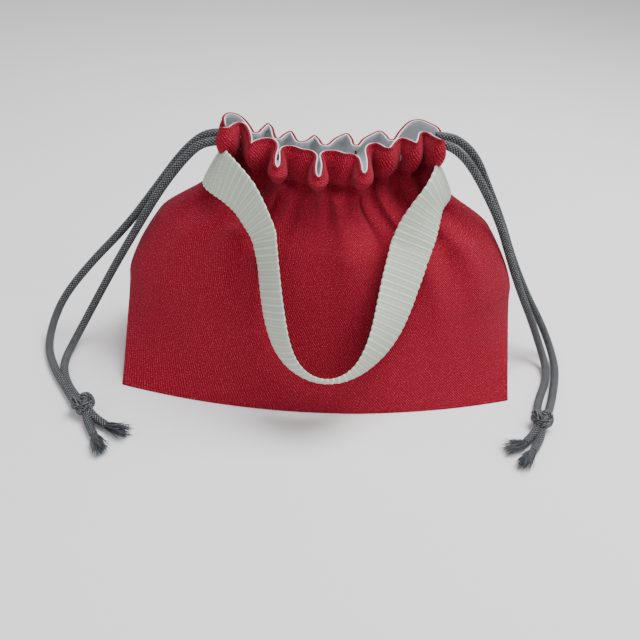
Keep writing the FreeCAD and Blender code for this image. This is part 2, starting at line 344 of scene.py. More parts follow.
# %% [markdown]
# ## The body's shape
# The base is a boxed rectangle whose front and back bow out, because the bag
# is full. Above the boxed corners each side is one seam that leans in to the
# end of the tunnel, and the front and back lean in to the gathers. At each
# height the front's line is worked out first as a formula, and then walked at
# equal steps, because cloth keeps its length from seam to seam.

# %% Sizes of the body
BASE_HALF_WIDTH = 117.5
BASE_HALF_DEPTH = 52.5
FRONT_BOW = 18.0
GATHER_HEIGHT = 119.0
MOUTH_HALF = 60.0
GATHERED_DEPTH = 20.0
SEAM_ALLOWANCE = 2.0
TUNNEL_HEIGHT = 19.0
CLOTH_WIDTH = 340.0
PANEL_COLUMNS = 421
FOLD_AT_STITCHES = 0.72
STITCH_TUCK = 1.4


def mouth_sag(x):
    """How much higher the mouth is at x than at its middle: 9 mm at the ends, on a circle's arc."""
    radius = (MOUTH_HALF**2 + 9.0**2) / 18.0
    return radius - np.sqrt(radius**2 - np.clip(x, -62, 62) ** 2)


def body_rows(heights, columns):
    """Front lines at each height: from the seam a short side, then x is a sine and depth a cosine's power."""
    rise = np.clip(heights / GATHER_HEIGHT, 0, 1)[:, None]
    lean = np.clip((heights - BASE_HALF_DEPTH) / (GATHER_HEIGHT - BASE_HALF_DEPTH), 0, 1)[:, None]
    half_width = BASE_HALF_WIDTH - (BASE_HALF_WIDTH - MOUTH_HALF - SEAM_ALLOWANCE) * lean**1.45
    full = BASE_HALF_DEPTH + FRONT_BOW
    depth = full - (full - GATHERED_DEPTH) * rise**1.3
    slope = BASE_HALF_DEPTH - heights - SEAM_ALLOWANCE
    side = (SEAM_ALLOWANCE + 0.5 * (slope + np.sqrt(slope**2 + 8.0**2)))[:, None]
    power = 2 - eased(heights / 62)[:, None]
    place = np.linspace(-1, 1, 1201)[None, :]
    side_share = side / (side + half_width)
    turn = np.clip(np.abs(place) / (1 - side_share), 0, 1) * np.pi / 2
    x = half_width * np.sin(turn) * np.sign(place)
    y = side + (depth - side) * np.clip(np.cos(turn), 0, 1) ** power
    y = np.where(np.abs(place) > 1 - side_share, side * (1 - np.abs(place)) / side_share, y)
    lines = np.stack([x, -y], -1)
    lines = np.stack([softened(line, 9.0) for line in lines])
    return np.stack([even_line(line, columns) for line in lines])


# %% [markdown]
# ## Gathers
# The drawstrings pull a 340 mm wide panel into a 120 mm mouth, so its top
# edge snakes: wide soft tubes with narrow loops between them that hang
# forward. The gathered edge is drawn as one snaking line seen from above.
# Its average is the line that the cords pull straight, and what is left over
# is the fold, which fades with the distance below the stitch line.

# %% Snaking edges of the mouth: x, y and how far the edge hangs down
front_edge_points = [
    (-60, -4, 2), (-61, -8, 0.5), (-58, -10.5, 0), (-54.5, -8, 0), (-53, -1, 0), (-50.5, 4, 0),
    (-47.5, 0, 0), (-45, -8, 1), (-43.8, -15, 2.5), (-40.5, -13, 1), (-36, -10, 0), (-32, -10, 0),
    (-30.2, -14, 1.5), (-31.2, -20, 4), (-31, -24.5, 6.5), (-28.6, -27.5, 7.5), (-26.2, -24.5, 6.5),
    (-25.9, -20, 4), (-26.2, -14, 1), (-22, -12.5, 0), (-16, -16, 0), (-12, -16, 0), (-9.3, -17.5, 1.5),
    (-9.9, -23, 5), (-9.3, -28, 7.5), (-6.8, -30.5, 8.5), (-4.3, -28, 7.5), (-3.7, -22, 4),
    (-4.6, -14.5, 1), (1, -13.5, 0), (6.5, -17, 0), (10.2, -15.8, 0.5), (13, -16, 1.5), (14.3, -20, 4),
    (14.9, -24.5, 6), (17.4, -27, 7), (20, -24.5, 6), (20.6, -18, 4), (20, -7, 1), (24, -3.5, 0),
    (28, -10, 0), (32, -11.5, 0), (35.5, -4, 0), (39, 1, 0), (43, -5, 0), (46, -9, 0), (48.5, -3, 0),
    (50, 4, 0), (52.5, 3, 0), (54.5, -4, 0), (57.5, -10.5, 0), (60.5, -9, 0.5), (61, -4, 2),
]
back_edge_points = [
    (-60, 4, 2), (-61, 8, 0.5), (-58, 12, -1), (-53, 13, -1), (-48.5, 11, 0), (-44.5, 5, 1),
    (-41.5, -2, 1), (-39, 5, 0), (-36, 11.5, -1), (-32.5, 9, 0), (-30, -2, 1), (-26.5, 4, 0),
    (-22, 6.5, -1), (-18, -1, 1), (-14.5, -2, 0), (-10, 5, -1), (-6.5, 3, 0), (-3.5, -3, 1), (2, 6, 0),
    (9, 11, -1), (12, 6, 0), (13.5, -2, 1), (18, 6, 0), (27, 13.5, -1), (31, 10, 0), (33.5, 3, 1),
    (38, 12, 0), (44, 19, -2), (51, 20, -2), (56, 14, -1), (60.5, 8, 0.5), (61, 4, 2),
]
print("snaking edges in mm", round(length_of(np.array(front_edge_points, float)[:, :2])),
      round(length_of(np.array(back_edge_points, float)[:, :2])))


# %% The pleated surface from base to rim
def pleats(edge_points, columns):
    """The snaking edge at equal steps, and the same edge averaged until its folds are gone."""
    line = softened(even_line(flowing_line(edge_points, 2000), columns), columns / 300)
    average = softened(line, columns / 16)
    return line, average


def wander(seed, place, waves):
    """A smooth uneven line: sines of rising rate, each with its own start, added up and kept near 1 high."""
    dice = np.random.default_rng(seed)
    rates = np.arange(1, waves + 1)
    starts = dice.uniform(0, 2 * np.pi, waves)
    weights = dice.uniform(0.4, 1.0, waves)
    return (weights * np.sin(place[..., None] * rates * np.pi + starts)).sum(-1) / np.sqrt(waves)


def facing_out(plan, spread):
    """Directions square to each line seen from above, averaged along it."""
    along = np.gradient(plan, axis=1)
    square = unit(np.stack([along[..., 1], -along[..., 0]], -1))
    return unit(np.stack([softened(row, spread) for row in square]))


def soft_ridge(place, centre, width):
    """Bell curve of height 1 at its centre."""
    return np.exp(-0.5 * ((place - centre) / width) ** 2)


def held_back(fold, part):
    """The loops that stand forward are shortened by the part, straight back; wide folds and hollows stay."""
    forward = (softened(fold, len(fold) / 26) - fold)[:, 1]
    return fold + np.array([0.0, 1.0]) * (part * forward * eased(forward / 2.0))[:, None]


def panel_surface(edge_points, seed, columns=PANEL_COLUMNS, rows=112, ridges=(), back=0.0):
    """The body's lines, drawn in to the averaged edge near the top, plus folds that fade further down."""
    share = np.linspace(0, 1, columns)[None, :]
    level = np.linspace(0, 1, rows)[:, None]
    body = body_rows(level[:, 0] * GATHER_HEIGHT, columns)
    line, average = pleats(edge_points, columns)
    whole_fold = (line - average)[:, :2]
    fold = held_back(whole_fold, back)[None]
    below = GATHER_HEIGHT * (1 - level)
    drawn_in = eased(1 - below / 34)[..., None]
    plan = body * (1 - drawn_in) + average[None, :, :2] * drawn_in
    fade = 26 + 7 * wander(seed, share, 5)
    size = (FOLD_AT_STITCHES + 0.20 * (1 - np.exp(-below / 5))) * np.exp(-below / fade)
    near_stitches = np.exp(-below / 3.0)[..., None]
    wide_fold = softened(held_back(whole_fold, 0.75), columns / 60)[None]
    plan = plan + (fold * near_stitches + wide_fold * (1 - near_stitches)) * size[..., None]
    facing = facing_out(plan, columns / 60)
    top_facing = facing_out(average[None, :, :2] + fold * FOLD_AT_STITCHES, columns / 110)
    facing = unit(top_facing * near_stitches + facing * (1 - near_stitches))
    free = 1 - np.exp(-((below / 5.0) ** 2))
    bulge = -STITCH_TUCK * np.exp(-((below / 3.0) ** 2)) * np.ones_like(share)
    small = wander(seed + 1, share, 40) * np.exp(-below / 12) * 0.7 * free
    broad = 1.1 * wander(seed + 2, share, 7) * (0.35 + 0.65 * level) + 0.8 * wander(seed + 3, level, 4)
    for centre, width, height, reach in ridges:
        bulge = bulge + height * soft_ridge(share, centre, width) * np.exp(-((below - 8) / reach) ** 2) * free
    slack = np.sin(np.pi * level) ** 0.6 * np.sin(np.pi * share) ** 0.5
    plan = plan + facing * (bulge + small + broad * slack)[..., None]
    for end in (0, -1):
        from_seam = np.abs(share - share[:, end:][:, :1])
        plan[..., 1] -= plan[:, [end], 1] * np.exp(-((from_seam / 0.016) ** 2))
    height = level * GATHER_HEIGHT + mouth_sag(average[None, :, 0]) * eased(level * 1.6 - 0.6)
    surface = np.concatenate([plan, height[..., None]], -1)
    up_cloth = walked_to(surface[:, columns // 2])[:, None]
    return surface, on_cloth(share * CLOTH_WIDTH, up_cloth)


def tunnel_surface(edge_points, columns=PANEL_COLUMNS, rows=26, back=0.0):
    """From the stitch line up: folds grow to their full size, the wall puffs out, and the top rolls over."""
    line, average = pleats(edge_points, columns)
    level = np.linspace(-0.12, 1, rows)[:, None]
    climb = level * TUNNEL_HEIGHT
    size = FOLD_AT_STITCHES + (1 - FOLD_AT_STITCHES) * eased(climb / 12)
    fold = (line - average)[None, :, :2]
    short = held_back(fold[0], back)[None]
    fold = short + (fold - short) * eased((climb - 4) / 10)[..., None]
    plan = average[None, :, :2] + fold * size[..., None]
    facing = facing_out(plan, columns / 110)
    puff = 2.6 * np.sin(np.pi * np.clip(climb / (TUNNEL_HEIGHT - 1.5), 0, 1)) ** 0.8
    puff = puff - STITCH_TUCK * np.exp(-((climb / 2.6) ** 2))
    share = np.linspace(0, 1, columns)[None, :]
    round_end = np.sqrt(1 - (1 - np.clip(np.minimum(share, 1 - share) / 0.04, 0, 1)) ** 2)
    climb_here = 11 + (climb - 11) * (0.62 + 0.38 * round_end)
    plan = plan + facing * (puff * round_end)[..., None]
    hang = line[None, :, 2] * eased((climb - 2) / 17)
    height = GATHER_HEIGHT + climb_here + mouth_sag(average[None, :, 0]) - hang
    wall = np.concatenate([plan, height[..., None]], -1)
    roll_in = np.array([0.4, 0.9, 1.2])[:, None, None]
    roll_up = np.array([0.35, 0.25, -0.4])[:, None]
    top_plan = wall[-1:, :, :2] - facing[-1:] * roll_in
    top_height = wall[-1:, :, 2] + roll_up
    roll = np.concatenate([top_plan, top_height[..., None]], -1)
    surface = np.concatenate([wall, roll])
    up_cloth = np.concatenate([climb[:, 0], TUNNEL_HEIGHT + np.array([0.6, 1.3, 2.1])]) + 135
    return surface, on_cloth(share * CLOTH_WIDTH, up_cloth[:, None])


def turned_to_back(surface):
    """Half a turn about the upright axis: x and y change sign, so what faced forward faces back."""
    return surface * np.array([-1.0, -1.0, 1.0])


# %% [markdown]
# ## Outer panels and tunnels
# Front and back are each one panel of twill with a tunnel above a line of
# stitching. When the mouth opens, the middle moves out while the side seams
# stay where they are. Each panel is made as a left and a right half that meet
# at the middle.

# %% Panels
front_ridges = [
    (0.345, 0.018, 4.8, 46), (0.398, 0.012, 2.8, 26), (0.30, 0.016, -3.6, 36), (0.468, 0.030, -4.0, 50),
    (0.560, 0.036, 8.5, 62), (0.640, 0.020, -5.5, 50), (0.740, 0.020, 5.2, 50), (0.80, 0.020, -3.4, 38),
    (0.85, 0.022, 3.0, 36), (0.24, 0.022, 3.0, 36), (0.19, 0.025, -2.4, 34),
]
back_ridges = [(0.25, 0.03, 2.6, 36), (0.45, 0.025, 2.4, 40), (0.62, 0.02, -2.2, 30), (0.78, 0.03, 2.2, 36)]
back_turned_points = [(-x, -y, hang) for x, y, hang in reversed(back_edge_points)]
front_panel, panel_cloth = panel_surface(front_edge_points, 11, ridges=front_ridges)
front_tunnel, tunnel_cloth = tunnel_surface(front_edge_points)
back_panel, _ = panel_surface(back_turned_points, 23, ridges=back_ridges)
back_tunnel, _ = tunnel_surface(back_turned_points)
back_panel = turned_to_back(back_panel)
back_tunnel = turned_to_back(back_tunnel)
print("front panel reaches in mm", np.round(front_panel[..., 1].min(), 1))
print("front panel width in mm", np.round(np.ptp(front_panel[..., 0]), 1))


# %% Halves of the panels
def opens_with_mouth(piece):
    """Bakes the piece's placement into its points."""
    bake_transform(piece)


def two_halves(name, surface, cloth, thickness, left_is_first):
    """Cuts a full-width surface at its middle column and makes each half a closed sheet."""
    middle = surface.shape[1] // 2
    first = cloth_shell(name + ("_left" if left_is_first else "_right"),
                        surface[:, :middle + 1], cloth[:, :middle + 1], thickness)
    second = cloth_shell(name + ("_right" if left_is_first else "_left"),
                         surface[:, middle:], cloth[:, middle:], thickness)
    left, right = (first, second) if left_is_first else (second, first)
    opens_with_mouth(left)
    opens_with_mouth(right)
    return left, right


FABRIC = 0.9
front_halves = two_halves("front_panel", front_panel, panel_cloth, FABRIC, True)
back_halves = two_halves("back_panel", back_panel, panel_cloth, FABRIC, False)
front_tunnels = two_halves("front_tunnel", front_tunnel, tunnel_cloth, FABRIC, True)
back_tunnels = two_halves("back_tunnel", back_tunnel, tunnel_cloth, FABRIC, False)
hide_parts("outer_front")
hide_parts("outer_back")
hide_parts("casing_front", "cord_run_front_left", "cord_run_front_right")
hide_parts("casing_back", "cord_run_back_left", "cord_run_back_right")

# %% [markdown]
# ## Lining
# The lining is a second, paler bag that hangs inside the first and meets it
# at the rim. It is the outer surface set inwards along its normals. Its
# forward loops are held back below the rim, because a loop is so narrow that
# the cloth inside it would come out through its sides.

# %% Lining panels
LINING_HELD_BACK = 0.7
LINING_SIZE = (CLOTH_WIDTH, 150)


def lining_surface(edge_points, seed, ridges):
    """The outer surface, its loops held back, set inwards: 2.4 mm low down, less than 1.5 mm at the mouth."""
    panel, _ = panel_surface(edge_points, seed, ridges=ridges, back=LINING_HELD_BACK)
    tunnel, _ = tunnel_surface(edge_points, back=LINING_HELD_BACK)
    low = np.concatenate([panel[4:-24:3], panel[-24:]])
    outer = np.concatenate([low, tunnel[5:-3]])
    outer = np.stack([softened(row, 0.8) for row in outer])
    marks = [0, len(low) - 24, len(low) - 8, len(outer) - 8, len(outer) - 1]
    depth = np.interp(np.arange(len(outer)), marks, [2.4, 1.6, 1.3, 1.1, 1.35])
    return outer - outward(outer) * depth[:, None, None]


front_lining = lining_surface(front_edge_points, 11, front_ridges)
back_lining = turned_to_back(lining_surface(back_turned_points, 23, back_ridges))
lining_rows, lining_columns = front_lining.shape[:2]
lining_cloth = on_cloth(np.linspace(0, LINING_SIZE[0], lining_columns)[None, :],
                        np.linspace(0, LINING_SIZE[1], lining_rows)[:, None])
front_linings = two_halves("front_lining", front_lining, lining_cloth, 0.6, True)
back_linings = two_halves("back_lining", back_lining, lining_cloth, 0.6, False)
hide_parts("lining_front")
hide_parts("lining_back")

# %% [markdown]
# ## Base
# The base is a flat piece of twill under a stiff board, with the lining's
# base on top. Each is the body's outline filled in from its middle: the
# outline shrunk by equal shares towards the centre.

# %% Base pieces
def base_piece(name, height, inset, thickness, thickness_up):
    """Outline at the height, set in, then scaled from nearly nothing to full size in equal steps."""
    front = body_rows(np.array([height]), 161)[0]
    outline = np.concatenate([front, -front[1:]])
    size = 1 - inset / BASE_HALF_DEPTH
    shares = np.linspace(0.002, 1, 40)[:, None, None]
    plan = outline[None] * shares * np.array([1 - inset / BASE_HALF_WIDTH, size])
    surface = np.concatenate([plan, np.full(plan.shape[:2] + (1,), height)], -1)
    if thickness_up:
        surface = surface[:, ::-1]
    return cloth_shell(name, surface, surface[..., :2] + 200, thickness)


base_panel = base_piece("base_panel", 0.25, 0.0, 0.9, False)
base_lining = base_piece("base_lining", 5.0, 3.0, 0.6, True)
for piece, node in ((base_panel, "outer_base"), (base_lining, "lining_base")):
    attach(piece, "bag")
    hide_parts(node)

# %% [markdown]
# ## Webbing strap
# The strap is 25 mm ribbed webbing. Its ends are caught in the side seams
# just under the tunnel, it lies over the gathers as a shoulder on each side,
# and its middle hangs over the front as a loop that can be lifted. A strip
# whose width direction turns along the way gives the twist, and the ribs are
# real relief, because light rakes across them.

# %% Webbing strip
WEBBING_WIDTH = 25.0
WEBBING_THICKNESS = 1.5
RIB_PITCH = 1.9


def webbing(name, stations, spread=10.0, columns=33):
    """Averaged centre line and width direction carry a flat strip with cross ribs and scalloped edges."""
    table = np.array([[*centre, *width] for centre, width in stations], float)
    table = even_line(table, int(length_of(table[:, :3]) / (RIB_PITCH / 4)))
    table = softened(table, spread)
    line, across = table[:, :3], unit(table[:, 3:])
    ahead = unit(np.gradient(line, axis=0))
    across = unit(across - ahead * (across * ahead).sum(1, keepdims=True))
    normal = np.cross(ahead, across)
    along = np.linspace(0, length_of(line), len(line))[:, None]
    place = np.linspace(-1, 1, columns)[None, :]
    scallop = 1 + 0.016 * np.cos(np.pi * along / RIB_PITCH)
    offset = place * WEBBING_WIDTH / 2 * scallop
    every_other = 0.74 + 0.26 * np.cos(np.pi * along / RIB_PITCH - np.pi / 2)
    rib = np.abs(np.sin(np.pi * along / RIB_PITCH)) ** 0.8 * every_other
    bead = 0.15 + 0.85 * np.abs(np.sin(np.pi * (offset / 1.9 + 0.5 * np.floor(along / RIB_PITCH))))
    thin_edge = 1 - place**8 * 0.5
    lift = (WEBBING_THICKNESS / 2 - 0.10) * thin_edge + 0.36 * rib * bead * thin_edge
    cup = 0.35 * (1 - place**2)
    middle = line[:, None, :] + offset[..., None] * across[:, None, :] + cup[..., None] * normal[:, None, :]
    upper = middle + lift[..., None] * normal[:, None, :]
    lower = middle - lift[..., None] * normal[:, None, :]
    points = np.concatenate([upper.reshape(-1, 3), lower.reshape(-1, 3)])
    faces = sheet_faces(len(line), columns)[0][:, ::-1]
    flat = np.tile(on_cloth(offset, along).reshape(-1, 2), (2, 1))
    piece = fill_mesh(name, points, faces, flat[faces.ravel()])
    carry_relief(piece, np.tile((rib * bead).ravel(), 2))
    return piece


# %% Left end, right end and loop
left_strap_stations = [
    ((-64.5, 7.5, 121), (0.50, 0, 0.87)), ((-65, 0, 122), (0.50, 0, 0.87)),
    ((-64.5, -7.5, 122.8), (0.49, 0.02, 0.87)), ((-61.5, -14, 123), (0.46, 0.0, 0.88)),
    ((-54.5, -22, 121.3), (0.38, -0.12, 0.92)), ((-46, -29.5, 116.3), (0.42, -0.30, 0.86)),
    ((-40, -36, 109.3), (0.47, -0.45, 0.76)), ((-36.8, -39.8, 104.8), (0.48, -0.55, 0.68)),
    ((-34.5, -41.8, 101), (0.48, -0.56, 0.67)), ((-34, -43.2, 98.5), (0.48, -0.58, 0.65)),
]
loop_stations = [
    ((-34.9, -41.2, 102.2), (0.48, -0.56, 0.67)), ((-34.5, -42, 101), (0.48, -0.56, 0.67)),
    ((-31.5, -49.5, 87.5), (0.46, -0.75, 0.48)), ((-29.5, -57, 74.5), (0.48, -0.76, 0.44)),
    ((-27, -63.5, 62), (0.48, -0.74, 0.48)), ((-23.5, -69.5, 50), (0.42, -0.73, 0.54)),
    ((-18, -74.3, 40.5), (0.32, -0.72, 0.61)), ((-9, -77.5, 33.5), (0.18, -0.73, 0.66)),
    ((2, -78.5, 30.5), (0.05, -0.71, 0.70)), ((12.5, -77.3, 32), (-0.11, -0.68, 0.73)),
    ((22, -74.3, 37.5), (-0.30, -0.64, 0.71)), ((29.5, -69, 46.5), (-0.50, -0.55, 0.67)),
    ((35, -62, 56.5), (-0.68, -0.43, 0.59)), ((38.5, -54.5, 66.5), (-0.80, -0.32, 0.50)),
    ((41.5, -46.5, 76.5), (-0.87, -0.24, 0.43)), ((45, -38, 87), (-0.91, -0.15, 0.38)),
    ((46.5, -34.2, 92), (-0.92, -0.11, 0.37)), ((47, -33.2, 93.5), (-0.92, -0.10, 0.37)),
]
right_strap_stations = [
    ((46.1, -34.8, 90.5), (-0.92, -0.11, 0.37)), ((46.9, -33.6, 93.2), (-0.92, -0.10, 0.37)),
    ((49.8, -29.5, 101), (-0.88, -0.12, 0.46)), ((53.5, -25, 109), (-0.70, -0.28, 0.66)),
    ((58, -19.5, 116.5), (-0.48, -0.38, 0.79)), ((62.5, -12, 121.5), (-0.45, -0.2, 0.86)),
    ((65, 0, 122), (-0.50, 0, 0.87)), ((64.5, 7.5, 121), (-0.50, 0, 0.87)),
]
strap_left = webbing("strap_left", left_strap_stations, 6.0)
strap_loop = webbing("strap_loop", loop_stations)
strap_right = webbing("strap_right", right_strap_stations, 6.0)
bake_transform(strap_left)
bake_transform(strap_right)
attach(strap_loop, "handle")
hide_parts("strap_tab_left", "strap_shoulder_left")
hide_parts("strap_tab_right", "strap_shoulder_right")
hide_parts("handle_strap")
print("webbing pieces", [len(p.data.polygons) for p in (strap_left, strap_loop, strap_right)])

# %% [markdown]
# ## Knots, tails and frayed ends
# The two strands of a cord are tied together in one overhand knot, and cut a
# little past it, where the braid has come apart. An overhand knot is half of
# a trefoil: one closed line that winds three times round a ring as it goes
# twice round the middle. Two such turns of braid, one for each strand, give
# the lump. A frayed end is 190 thin fibres that leave the braid close
# together and spread, all worked out as one array.

# %% Knots
def overhand_line(centre, turn, size, flatness):
    """Trefoil: x is sin t + 2 sin 2t, y is cos t - 2 cos 2t, height is -sin 3t, then turned and moved."""
    t = np.linspace(0, 2 * np.pi, 240)
    x = np.sin(t) + 2 * np.sin(2 * t)
    y = np.cos(t) - 2 * np.cos(2 * t)
    z = -np.sin(3 * t) * flatness
    c, s = math.cos(turn), math.sin(turn)
    return np.stack([x * c - y * s, x * s + y * c, z], 1) * size + np.array(centre)


def tied_knot(name, centre, turn):
    """Two trefoils of braid, the second turned a sixth of a turn and set a little lower, as one mesh."""
    upper = overhand_line(centre + np.array([0, 0, 0.4]), turn, 1.62, 1.45)
    lower = overhand_line(centre - np.array([0, 0, 0.5]), turn + 0.5, 1.45, 1.3)
    first = braided_tube(name, upper, 2.35, 0.5, 20)
    second = braided_tube(name + "_second", lower, 2.3, 0.5, 20)
    with bpy.context.temp_override(active_object=first, selected_editable_objects=[first, second]):
        bpy.ops.object.join()
    return first


knots = {
    "left": tied_knot("left_tied_knot", np.array([-133.0, -78.0, 7.0]), 0.3),
    "right": tied_knot("right_tied_knot", np.array([130.5, -76.0, 7.0]), -0.4),
}

# %% Tails and their fibres
tails = {
    "left_tail_one": [(-131, -79.5, 6), (-127.5, -83, 4.6), (-122, -87.2, 3.2), (-116, -91, 2.9)],
    "left_tail_two": [(-131, -80.5, 6), (-129.5, -85, 4.3), (-126, -92, 3.0), (-121.5, -99, 2.9)],
    "right_tail_one": [(129, -79, 6), (126.2, -82.5, 4.6), (121.5, -87.5, 3.2), (117, -92, 2.9)],
    "right_tail_two": [(130, -79.5, 6), (129, -84, 4.3), (125.5, -91, 3.0), (120, -98.5, 2.9)],
}
fibre_ends = {
    "left_tail_one": (-102, -97, 4.6), "left_tail_two": (-113.5, -112, 4.8),
    "right_tail_one": (103, -97, 4.6), "right_tail_two": (110, -111, 4.8),
}


def frayed_end(name, start, end, seed, fibres=190, steps=9):
    """Each fibre starts in the braid's end and goes towards a point in a wider disc, bending as it goes."""
    dice = np.random.default_rng(seed)
    start, end = np.array(start, float), np.array(end, float)
    ahead = unit(end - start)
    side = unit(np.cross(ahead, [0, 0, 1.0]))
    up = np.cross(side, ahead)
    turn = dice.uniform(0, 2 * np.pi, fibres)
    root = 2.0 * np.sqrt(dice.uniform(0, 1, fibres))
    spread = root * dice.uniform(1.3, 3.0, fibres)
    reach = dice.uniform(0.60, 1.0, fibres)
    share = np.linspace(0, 1, steps)[None, :]
    out = root[:, None] + (spread - root)[:, None] * share**1.4
    wave = dice.uniform(-1.0, 1.0, (fibres, 2))[:, None, :] * np.sin(share * np.pi * 1.3)[..., None] * 0.8
    a = np.cos(turn)[:, None] * out + wave[..., 0]
    b = np.sin(turn)[:, None] * out + wave[..., 1]
    distance = np.linalg.norm(end - start)
    gone = share * reach[:, None] * distance - 1.0
    line = start + ahead * gone[..., None] + side * a[..., None] + up * b[..., None]
    line[..., 2] = np.maximum(line[..., 2], 0.35)
    thick = (0.20 * (1 - 0.55 * share**2))[..., None, None] * np.ones((fibres, 1, 1, 1))
    corner = 2 * np.pi * np.arange(3) / 3
    ring = np.cos(corner)[:, None] * side + np.sin(corner)[:, None] * up
    points = line[:, :, None, :] + thick * ring
    faces = many_tube_faces(fibres, steps, 3)
    fibre = np.arange(fibres)[:, None, None] * np.ones((1, steps, 3))
    flat = np.stack([fibre, share[..., None] * 12 * np.ones((fibres, 1, 3))], -1).reshape(-1, 2)
    return fill_mesh(name, points.reshape(-1, 3), faces, flat[faces.ravel()])


tail_pieces = {}
tuft_pieces = {}
for seed, (name, points) in enumerate(tails.items()):
    route = [tuple(np.array(point) * MM) for point in points]
    tail_pieces[name] = braided_tube("braid_" + name, line_along(route), 2.4, 0.45, 28)
    tuft_name = name.replace("tail", "tuft")
    tuft_pieces[name] = frayed_end("fibres_" + tuft_name, points[-1], fibre_ends[name], seed + 3)
    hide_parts(name)
    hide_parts(tuft_name)
    print(name, "braid to its cut end in mm", round(length_of(np.array(points, float)), 1))

for side in ("left", "right"):
    body = side + "_drawstring"
    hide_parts(side + "_knot")
    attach(knots[side], body)
    on_knot = [knots[side]]
    for number in ("one", "two"):
        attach(tail_pieces[side + "_tail_" + number], body)
        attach(tuft_pieces[side + "_tail_" + number], body)
        on_knot += [tail_pieces[side + "_tail_" + number], tuft_pieces[side + "_tail_" + number]]
    for which in ("inner", "outer"):
        name = side + "_strand_" + which
        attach(strands[name], body)
        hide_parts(name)

# %% [markdown]
# ## Stitching
# The tunnel is closed by a line of stitches where it meets the panel. A
# stitch is a short thread that rises out of the cloth and goes back in, so
# each is a few faces of tube carried along the surface just outside it.

# %% Stitches along a line
def stitch_row(name, line, facing, pitch=2.6, share=0.72, radius=0.17):
    """Every stitch covers part of one pitch: a six-sided tube whose height over the cloth is half a sine."""
    count = int(length_of(line) / pitch)
    steps = 7
    place = (np.arange(count)[:, None] + np.linspace(0, share, steps)[None, :]) * pitch
    walked = walked_to(line)
    spots = np.stack([np.interp(place, walked, column) for column in line.T], -1)
    normal = unit(np.stack([np.interp(place, walked, column) for column in facing.T], -1))
    lift = np.sin(np.linspace(0, np.pi, steps)) * 0.30 - 0.12
    spots = spots + normal * lift[None, :, None]
    ahead = unit(np.gradient(spots, axis=1))
    side = np.cross(normal, ahead)
    corner = 2 * np.pi * np.arange(6) / 6
    ring = np.cos(corner)[:, None] * side[:, :, None, :] + np.sin(corner)[:, None] * normal[:, :, None, :]
    points = spots[:, :, None, :] + radius * ring
    faces = many_tube_faces(count, steps, 6)
    flat = np.zeros((points.size // 3, 2))
    return fill_mesh(name, points.reshape(-1, 3), faces, flat[faces.ravel()])


STITCHED_ROW = 4


def stitches_under(name, tunnel, first_half):
    """A row of stitches along half of the tunnel's fifth row, a millimetre above the tuck."""
    normals = outward(tunnel)
    middle = tunnel.shape[1] // 2
    part = slice(0, middle + 1) if first_half else slice(middle, None)
    line, facing = tunnel[STITCHED_ROW, part], normals[STITCHED_ROW, part]
    piece = stitch_row(name, line + facing * 0.05, facing)
    opens_with_mouth(piece)
    return piece


stitch_pieces = [
    stitches_under("front_tunnel_stitches_left", front_tunnel, True),
    stitches_under("front_tunnel_stitches_right", front_tunnel, False),
    stitches_under("back_tunnel_stitches_right", back_tunnel, True),
    stitches_under("back_tunnel_stitches_left", back_tunnel, False),
]
print("stitch rows", len(stitch_pieces))

# %% [markdown]
# ## Materials
# Every cloth finish follows the piece's own cloth coordinates, so the weave
# bends with the folds. A weave is worked out from those coordinates with
# waves: twill is a set of slanting ribs cut into short floats, webbing is
# cross ribs cut by lengthwise yarns. Slow noise on Object coordinates adds
# the uneven dye of the twill, paints crease shade on the lining, and breaks
# up the painted highlights on the crowns of the webbing and the braid, whose
# relief valleys and gaps also carry painted shade.

# %% Node helpers
def new_finish(name, roughness, specular=0.3, sheen=0.0, sheen_roughness=0.4):
    """An empty material with one Principled shader whose plain numbers are set on its own sockets."""
    finish = bpy.data.materials.new(name)
    finish.use_nodes = True
    shader = finish.node_tree.nodes["Principled BSDF"]
    shader.inputs["Roughness"].default_value = roughness
    shader.inputs["Specular IOR Level"].default_value = specular
    shader.inputs["Sheen Weight"].default_value = sheen
    shader.inputs["Sheen Roughness"].default_value = sheen_roughness
    return finish, finish.node_tree, shader


def add_node(tree, kind, **settings):
    """A node of this kind with its settings; numbers given as i0, i1 and so on go to its sockets in order."""
    node = tree.nodes.new(kind)
    for key, value in settings.items():
        if key[0] == "i" and key[1:].isdigit():
            node.inputs[int(key[1:])].default_value = value
        else:
            setattr(node, key, value)
    return node


def sums(tree, operation, first, second):
    """One step of arithmetic between two sockets or numbers."""
    node = add_node(tree, "ShaderNodeMath", operation=operation)
    for socket, value in zip(node.inputs, (first, second)):
        if isinstance(value, (int, float)):
            socket.default_value = value
        else:
            tree.links.new(value, socket)
    return node.outputs[0]


def mixed(tree, share, dark, light):
    """Colour that goes from dark to light with the share; each may be a socket or a colour."""
    node = add_node(tree, "ShaderNodeMix", data_type="RGBA")
    tree.links.new(share, node.inputs["Factor"])
    for socket, value in ((node.inputs[6], dark), (node.inputs[7], light)):
        if isinstance(value, tuple):
            socket.default_value = (*value, 1)
        else:
            tree.links.new(value, socket)
    return node.outputs[2]


def noise(tree, vector, scale, detail=3.0):
    """Soft noise, from about 0.3 to 0.7."""
    node = add_node(tree, "ShaderNodeTexNoise")
    node.inputs["Scale"].default_value = scale
    node.inputs["Detail"].default_value = detail
    tree.links.new(vector, node.inputs["Vector"])
    return node.outputs["Fac"]


def bumped(tree, shader, height, distance, strength=1.0, under=None):
    """Turns a height into a change of normal."""
    node = add_node(tree, "ShaderNodeBump")
    node.inputs["Strength"].default_value = strength
    node.inputs["Distance"].default_value = distance
    tree.links.new(height, node.inputs["Height"])
    if under is not None:
        tree.links.new(under, node.inputs["Normal"])
    tree.links.new(node.outputs["Normal"], shader.inputs["Normal"])
    return node.outputs["Normal"]


